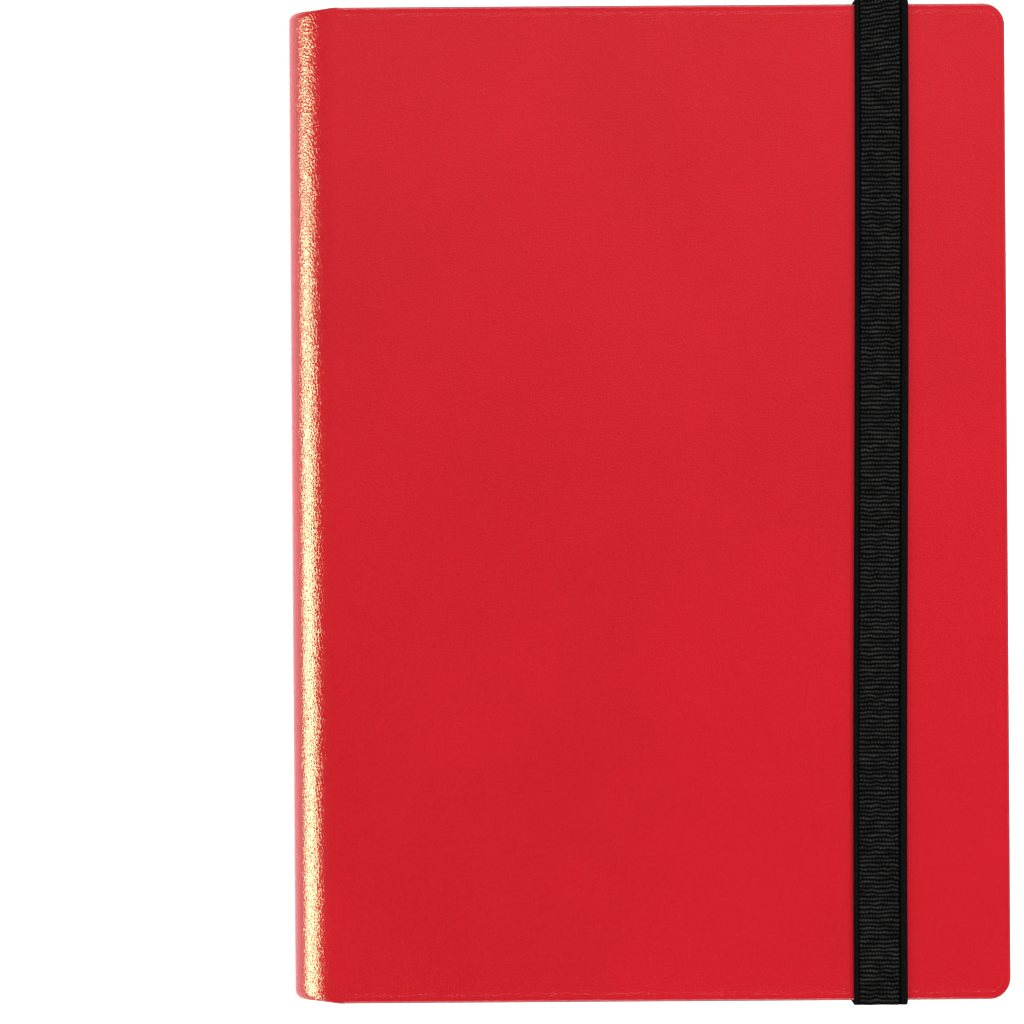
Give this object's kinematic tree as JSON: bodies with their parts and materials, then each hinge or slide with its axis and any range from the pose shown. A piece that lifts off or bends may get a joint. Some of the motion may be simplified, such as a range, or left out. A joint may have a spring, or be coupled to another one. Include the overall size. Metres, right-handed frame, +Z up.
{
  "type": "trading card binder",
  "caption": "Closed side-loading card album in red leatherette with clear pocket leaves and a black elastic strap that holds it shut.",
  "frame": {"origin": "on the surface the closed binder lies on, at the middle of its footprint", "axes": "+X from the spine to the fore edge, +Y from tail to head, +Z up through the front cover"},
  "size_m": [0.229, 0.3214, 0.0292],
  "materials": {
    "red_leatherette": "fine pebble grain, semi-matt",
    "board": "grey millboard",
    "black_lining": "fine woven cloth, matt",
    "black_sheet": "fine matt polypropylene",
    "clear_film": "clear glossy film",
    "elastic": "ribbed woven elastic",
    "binding_tape": "herringbone tape",
    "thread": "twisted thread",
    "card": "foil-faced card with a silver border"
  },
  "bodies": {
    "back_cover": {"back_cover_skin": "red_leatherette", "back_board": "board", "back_lining": "black_lining", "strap_ends": "elastic"},
    "spine": {"spine_skin": "red_leatherette", "spine_board": "board", "spine_lining": "black_lining", "front_crease_skin": "red_leatherette", "back_crease_skin": "red_leatherette", "crease_linings": "black_lining", "binding_strip": "binding_tape", "binding_stitches": "thread", "leaf_gutters": "black_sheet"},
    "front_cover": {"front_cover_skin": "red_leatherette", "front_board": "board", "front_lining": "black_lining"},
    "strap": {"strap_band": "elastic"},
    "leaf_01": {"leaf_01_sheet": "black_sheet", "leaf_01_pockets": "clear_film"},
    "leaf_02": {"leaf_02_sheet": "black_sheet", "leaf_02_pockets": "clear_film"},
    "leaf_03": {"leaf_03_sheet": "black_sheet", "leaf_03_pockets": "clear_film"},
    "leaf_04": {"leaf_04_sheet": "black_sheet", "leaf_04_pockets": "clear_film"},
    "leaf_05": {"leaf_05_sheet": "black_sheet", "leaf_05_pockets": "clear_film"},
    "leaf_06": {"leaf_06_sheet": "black_sheet", "leaf_06_pockets": "clear_film"},
    "leaf_07": {"leaf_07_sheet": "black_sheet", "leaf_07_pockets": "clear_film"},
    "leaf_08": {"leaf_08_sheet": "black_sheet", "leaf_08_pockets": "clear_film"},
    "leaf_09": {"leaf_09_sheet": "black_sheet", "leaf_09_pockets": "clear_film"},
    "leaf_10": {"leaf_10_sheet": "black_sheet", "leaf_10_pockets": "clear_film", "leaf_10_cards": "card"},
    "leaf_11": {"leaf_11_sheet": "black_sheet", "leaf_11_pockets": "clear_film", "leaf_11_cards": "card"},
    "leaf_12": {"leaf_12_sheet": "black_sheet", "leaf_12_pockets": "clear_film"},
    "leaf_13": {"leaf_13_sheet": "black_sheet", "leaf_13_pockets": "clear_film"},
    "leaf_14": {"leaf_14_sheet": "black_sheet", "leaf_14_pockets": "clear_film"},
    "leaf_15": {"leaf_15_sheet": "black_sheet", "leaf_15_pockets": "clear_film"},
    "leaf_16": {"leaf_16_sheet": "black_sheet", "leaf_16_pockets": "clear_film"},
    "leaf_17": {"leaf_17_sheet": "black_sheet", "leaf_17_pockets": "clear_film"},
    "leaf_18": {"leaf_18_sheet": "black_sheet", "leaf_18_pockets": "clear_film"},
    "leaf_19": {"leaf_19_sheet": "black_sheet", "leaf_19_pockets": "clear_film"},
    "leaf_20": {"leaf_20_sheet": "black_sheet", "leaf_20_pockets": "clear_film"}
  },
  "joints": [
    {"name": "spine_fold", "type": "hinge", "parent": "back_cover", "child": "spine", "pos_m": [-0.11185, 0, 0.00265], "axis": [0, -1, 0], "range_deg": [0, 90], "deforming": ["front_crease_skin", "back_crease_skin", "crease_linings", "leaf_gutters"]},
    {"name": "front_cover_fold", "type": "hinge", "parent": "spine", "child": "front_cover", "pos_m": [-0.11185, 0, 0.02535], "axis": [0, -1, 0], "range_deg": [0, 90]},
    {"name": "strap_release", "type": "slide", "parent": "back_cover", "child": "strap", "axis": [0.8872, 0, -0.4614], "range_m": [0, 0.05656], "deforming": ["strap_band", "strap_ends"]},
    {"name": "leaf_01_turn", "type": "hinge", "parent": "spine", "child": "leaf_01", "pos_m": [-0.11085, 0, 0.02435], "axis": [0, -1, 0], "range_deg": [0, 90]},
    {"name": "leaf_02_turn", "type": "hinge", "parent": "spine", "child": "leaf_02", "pos_m": [-0.11024, 0, 0.02374], "axis": [0, -1, 0], "range_deg": [0, 90]},
    {"name": "leaf_03_turn", "type": "hinge", "parent": "spine", "child": "leaf_03", "pos_m": [-0.10963, 0, 0.02313], "axis": [0, -1, 0], "range_deg": [0, 90]},
    {"name": "leaf_04_turn", "type": "hinge", "parent": "spine", "child": "leaf_04", "pos_m": [-0.10902, 0, 0.02252], "axis": [0, -1, 0], "range_deg": [0, 90]},
    {"name": "leaf_05_turn", "type": "hinge", "parent": "spine", "child": "leaf_05", "pos_m": [-0.10841, 0, 0.02191], "axis": [0, -1, 0], "range_deg": [0, 90]},
    {"name": "leaf_06_turn", "type": "hinge", "parent": "spine", "child": "leaf_06", "pos_m": [-0.10779, 0, 0.02129], "axis": [0, -1, 0], "range_deg": [0, 90]},
    {"name": "leaf_07_turn", "type": "hinge", "parent": "spine", "child": "leaf_07", "pos_m": [-0.10718, 0, 0.02068], "axis": [0, -1, 0], "range_deg": [0, 90]},
    {"name": "leaf_08_turn", "type": "hinge", "parent": "spine", "child": "leaf_08", "pos_m": [-0.10657, 0, 0.02007], "axis": [0, -1, 0], "range_deg": [0, 90]},
    {"name": "leaf_09_turn", "type": "hinge", "parent": "spine", "child": "leaf_09", "pos_m": [-0.10596, 0, 0.01946], "axis": [0, -1, 0], "range_deg": [0, 90]},
    {"name": "leaf_10_turn", "type": "hinge", "parent": "spine", "child": "leaf_10", "pos_m": [-0.10535, 0, 0.01885], "axis": [0, -1, 0], "range_deg": [0, 90]},
    {"name": "leaf_11_turn", "type": "hinge", "parent": "spine", "child": "leaf_11", "pos_m": [-0.10535, 0, 0.00915], "axis": [0, -1, 0], "range_deg": [-90, 0]},
    {"name": "leaf_12_turn", "type": "hinge", "parent": "spine", "child": "leaf_12", "pos_m": [-0.10596, 0, 0.00854], "axis": [0, -1, 0], "range_deg": [-90, 0]},
    {"name": "leaf_13_turn", "type": "hinge", "parent": "spine", "child": "leaf_13", "pos_m": [-0.10657, 0, 0.00793], "axis": [0, -1, 0], "range_deg": [-90, 0]},
    {"name": "leaf_14_turn", "type": "hinge", "parent": "spine", "child": "leaf_14", "pos_m": [-0.10718, 0, 0.00732], "axis": [0, -1, 0], "range_deg": [-90, 0]},
    {"name": "leaf_15_turn", "type": "hinge", "parent": "spine", "child": "leaf_15", "pos_m": [-0.10779, 0, 0.00671], "axis": [0, -1, 0], "range_deg": [-90, 0]},
    {"name": "leaf_16_turn", "type": "hinge", "parent": "spine", "child": "leaf_16", "pos_m": [-0.10841, 0, 0.00609], "axis": [0, -1, 0], "range_deg": [-90, 0]},
    {"name": "leaf_17_turn", "type": "hinge", "parent": "spine", "child": "leaf_17", "pos_m": [-0.10902, 0, 0.00548], "axis": [0, -1, 0], "range_deg": [-90, 0]},
    {"name": "leaf_18_turn", "type": "hinge", "parent": "spine", "child": "leaf_18", "pos_m": [-0.10963, 0, 0.00487], "axis": [0, -1, 0], "range_deg": [-90, 0]},
    {"name": "leaf_19_turn", "type": "hinge", "parent": "spine", "child": "leaf_19", "pos_m": [-0.11024, 0, 0.00426], "axis": [0, -1, 0], "range_deg": [-90, 0]},
    {"name": "leaf_20_turn", "type": "hinge", "parent": "spine", "child": "leaf_20", "pos_m": [-0.11085, 0, 0.00365], "axis": [0, -1, 0], "range_deg": [-90, 0]}
  ],
  "couplings": [
    {"joint": "front_cover_fold", "follows": "spine_fold", "ratio": 1},
    {"joint": "strap_release", "follows": "spine_fold", "m_per_rad": 0.035877},
    {"joint": "leaf_01_turn", "follows": "spine_fold", "ratio": 0.99778},
    {"joint": "leaf_02_turn", "follows": "spine_fold", "ratio": 0.99556},
    {"joint": "leaf_03_turn", "follows": "spine_fold", "ratio": 0.99333},
    {"joint": "leaf_04_turn", "follows": "spine_fold", "ratio": 0.99111},
    {"joint": "leaf_05_turn", "follows": "spine_fold", "ratio": 0.98889},
    {"joint": "leaf_06_turn", "follows": "spine_fold", "ratio": 0.98667},
    {"joint": "leaf_07_turn", "follows": "spine_fold", "ratio": 0.98444},
    {"joint": "leaf_08_turn", "follows": "spine_fold", "ratio": 0.98222},
    {"joint": "leaf_09_turn", "follows": "spine_fold", "ratio": 0.98},
    {"joint": "leaf_10_turn", "follows": "spine_fold", "ratio": 0.97778},
    {"joint": "leaf_11_turn", "follows": "spine_fold", "ratio": -0.97778},
    {"joint": "leaf_12_turn", "follows": "spine_fold", "ratio": -0.98},
    {"joint": "leaf_13_turn", "follows": "spine_fold", "ratio": -0.98222},
    {"joint": "leaf_14_turn", "follows": "spine_fold", "ratio": -0.98444},
    {"joint": "leaf_15_turn", "follows": "spine_fold", "ratio": -0.98667},
    {"joint": "leaf_16_turn", "follows": "spine_fold", "ratio": -0.98889},
    {"joint": "leaf_17_turn", "follows": "spine_fold", "ratio": -0.99111},
    {"joint": "leaf_18_turn", "follows": "spine_fold", "ratio": -0.99333},
    {"joint": "leaf_19_turn", "follows": "spine_fold", "ratio": -0.99556},
    {"joint": "leaf_20_turn", "follows": "spine_fold", "ratio": -0.99778}
  ]
}
